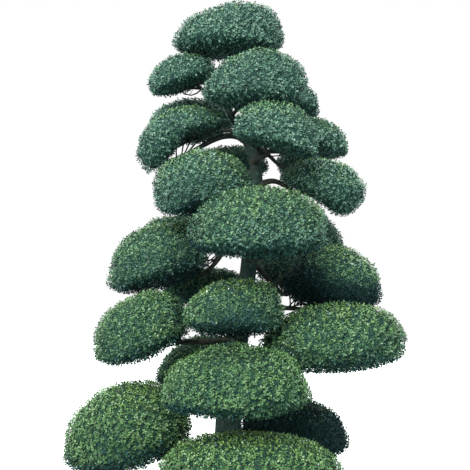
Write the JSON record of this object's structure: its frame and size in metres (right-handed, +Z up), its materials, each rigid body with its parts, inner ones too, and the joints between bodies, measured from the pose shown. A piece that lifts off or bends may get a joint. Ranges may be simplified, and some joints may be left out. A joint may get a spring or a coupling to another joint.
{
  "type": "potted cloud-pruned japanese holly",
  "caption": "Small evergreen tree clipped into rounded clouds of leaves on a winding trunk, in a plain round pot.",
  "frame": {"origin": "centre of the pot's flat underside, on the surface that it stands on", "axes": "+Z up the trunk, -Y towards the side that the picture shows, +X to the right seen from there"},
  "size_m": [2.2714, 2.3436, 4.2086],
  "materials": {
    "pot": "matt fired clay",
    "soil": "rough dark potting soil",
    "bark": "rough grey-brown bark",
    "foliage": "small glossy leaves"
  },
  "bodies": {
    "root": {"pot": "pot", "soil": "soil", "trunk": "bark", "bough_06_left": "bark", "bough_07_front_right": "bark", "bough_08_right": "bark", "bough_09_front_left": "bark", "bough_10_right": "bark", "bough_11_back_left": "bark", "bough_12_right_back": "bark", "bough_13_front": "bark", "bough_14_left": "bark", "bough_15_right_back": "bark", "bough_16_left_back": "bark", "bough_17_right": "bark", "bough_18_back_left": "bark", "bough_19_front": "bark", "bough_20_left": "bark", "bough_21_right": "bark", "bough_22_right_back": "bark", "bough_23_left_back": "bark", "bough_24_front": "bark", "bough_25_back": "bark", "bough_26_left": "bark", "bough_27_right_back": "bark", "bough_28_front": "bark", "bough_29_left_back": "bark", "bough_30_back": "bark", "cloud_01_top": "foliage", "cloud_02_left": "foliage", "cloud_03_front": "foliage", "cloud_04_right_back": "foliage", "cloud_05_left_back": "foliage", "cloud_06_left": "foliage", "cloud_07_front_right": "foliage", "cloud_08_right": "foliage", "cloud_09_front_left": "foliage", "cloud_10_right": "foliage", "cloud_11_back_left": "foliage", "cloud_12_right_back": "foliage", "cloud_13_front": "foliage", "cloud_14_left": "foliage", "cloud_15_right_back": "foliage", "cloud_16_left_back": "foliage", "cloud_17_right": "foliage", "cloud_18_back_left": "foliage", "cloud_19_front": "foliage", "cloud_20_left": "foliage", "cloud_21_right": "foliage", "cloud_22_right_back": "foliage", "cloud_23_left_back": "foliage", "cloud_24_front": "foliage", "cloud_25_back": "foliage", "cloud_26_left": "foliage", "cloud_27_right_back": "foliage", "cloud_28_front": "foliage", "cloud_29_left_back": "foliage", "cloud_30_back": "foliage"}
  },
  "joints": []
}
